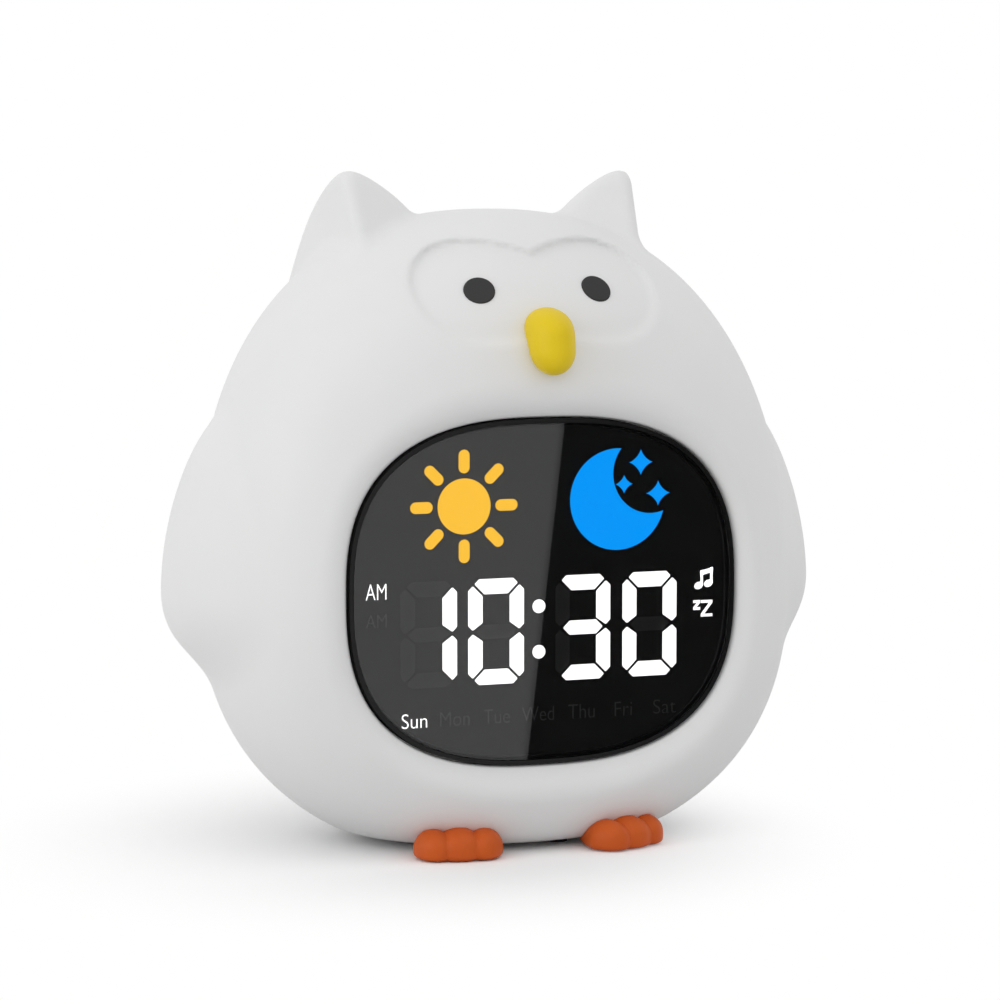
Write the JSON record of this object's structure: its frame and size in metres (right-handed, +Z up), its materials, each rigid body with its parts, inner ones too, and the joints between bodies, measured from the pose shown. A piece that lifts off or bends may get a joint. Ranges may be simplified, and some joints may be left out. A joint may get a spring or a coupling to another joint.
{
  "type": "alarm clock",
  "caption": "Owl-shaped bedside alarm clock: soft white skin with ear tufts and wings, smoked seven-segment display, beak, feet and a rear panel of push buttons.",
  "frame": {"origin": "on the table, under the middle of the clock's outline", "axes": "+Z up, -Y out of the display and the beak, +X to the owl's left wing (right as seen from the front)"},
  "size_m": [0.138, 0.0822, 0.133],
  "materials": {
    "skin_silicone": "matte white silicone",
    "eye_silicone": "satin black silicone",
    "beak_silicone": "satin yellow silicone",
    "foot_silicone": "satin orange silicone",
    "housing_plastic": "milky moulded plastic",
    "panel_plastic": "fine-textured white moulding",
    "button_plastic": "light grey moulding",
    "bezel_plastic": "glossy black moulding",
    "lens_acrylic": "smoked polished acrylic",
    "block_plastic": "matte black moulding",
    "gasket_foam": "black foam",
    "lit_white": "lit white diffuser",
    "unlit_grey": "unlit grey diffuser",
    "sun_yellow": "lit yellow diffuser",
    "moon_blue": "lit blue diffuser",
    "board_green": "green solder mask",
    "board_white": "white solder mask",
    "chip_epoxy": "black epoxy",
    "lamp_resin": "yellow phosphor resin",
    "plunger_plastic": "black plunger plastic",
    "screw_steel": "zinc-plated steel",
    "socket_steel": "bright stamped steel",
    "cell_steel": "nickel-plated cell",
    "magnet_ferrite": "dark ferrite",
    "cone_paper": "pressed black paper",
    "battery_sleeve": "shrink sleeve",
    "ribbon_film": "flat cable film"
  },
  "bodies": {
    "clock": {"alarm_slider_body": "block_plastic", "base_plate": "panel_plastic", "base_screws": "screw_steel", "battery": "battery_sleeve", "beak": "beak_silicone", "board_screws": "screw_steel", "coin_cell": "cell_steel", "coin_spring": "socket_steel", "display_bezel": "bezel_plastic", "display_chips": "chip_epoxy", "display_lens": "lens_acrylic", "display_pcb": "board_green", "display_screws": "screw_steel", "foot_pads": "gasket_foam", "front_housing": "housing_plastic", "housing_screws": "screw_steel", "left_eye": "eye_silicone", "left_foot": "foot_silicone", "lens_gasket": "gasket_foam", "lit_segments": "lit_white", "main_chips": "chip_epoxy", "main_pcb": "board_green", "moon_icon": "moon_blue", "nightlight_board": "board_white", "nightlight_leds": "lamp_resin", "panel_screws": "screw_steel", "rear_housing": "housing_plastic", "rear_panel": "panel_plastic", "reflector_block": "block_plastic", "ribbon_cable": "ribbon_film", "right_eye": "eye_silicone", "right_foot": "foot_silicone", "silicone_skin": "skin_silicone", "small_windows": "unlit_grey", "speaker_frame": "socket_steel", "speaker_magnet": "magnet_ferrite", "sun_icon": "sun_yellow", "switch_bodies": "block_plastic", "touch_spring": "socket_steel", "unlit_segments": "unlit_grey", "usb_board": "board_green", "usb_socket": "socket_steel", "usb_tongue": "block_plastic"},
    "set_key": {"set_button": "button_plastic", "set_plunger": "plunger_plastic"},
    "up_key": {"up_button": "button_plastic", "up_plunger": "plunger_plastic"},
    "alarm_key": {"alarm_button": "button_plastic", "alarm_plunger": "plunger_plastic"},
    "light_key": {"light_button": "button_plastic", "light_plunger": "plunger_plastic"},
    "down_key": {"down_button": "button_plastic", "down_plunger": "plunger_plastic"},
    "sound_key": {"sound_button": "button_plastic", "sound_plunger": "plunger_plastic"},
    "alarm_slider": {"alarm_slider_knob": "button_plastic"},
    "speaker_diaphragm": {"speaker_cone": "cone_paper"},
    "coin_cover": {"coin_door": "panel_plastic"}
  },
  "joints": [
    {"name": "set_press", "type": "slide", "parent": "clock", "child": "set_key", "axis": [0, -1, 0], "range_m": [0, 0.0006], "stiffness_N_per_m": 1800},
    {"name": "up_press", "type": "slide", "parent": "clock", "child": "up_key", "axis": [0, -1, 0], "range_m": [0, 0.0006], "stiffness_N_per_m": 1800},
    {"name": "alarm_press", "type": "slide", "parent": "clock", "child": "alarm_key", "axis": [0, -1, 0], "range_m": [0, 0.0006], "stiffness_N_per_m": 1800},
    {"name": "light_press", "type": "slide", "parent": "clock", "child": "light_key", "axis": [0, -1, 0], "range_m": [0, 0.0006], "stiffness_N_per_m": 1800},
    {"name": "down_press", "type": "slide", "parent": "clock", "child": "down_key", "axis": [0, -1, 0], "range_m": [0, 0.0006], "stiffness_N_per_m": 1800},
    {"name": "sound_press", "type": "slide", "parent": "clock", "child": "sound_key", "axis": [0, -1, 0], "range_m": [0, 0.0006], "stiffness_N_per_m": 1800},
    {"name": "alarm_slide", "type": "slide", "parent": "clock", "child": "alarm_slider", "axis": [1, 0, 0], "range_m": [-0.0015, 0.0015]},
    {"name": "cone_swing", "type": "slide", "parent": "clock", "child": "speaker_diaphragm", "axis": [0, 1, 0], "range_m": [-0.0003, 0.0003], "stiffness_N_per_m": 1200},
    {"name": "coin_cover_turn", "type": "hinge", "parent": "clock", "child": "coin_cover", "pos_m": [0, -0.00747, 0.0018], "axis": [0, 0, -1], "range_deg": [0, 60]}
  ]
}
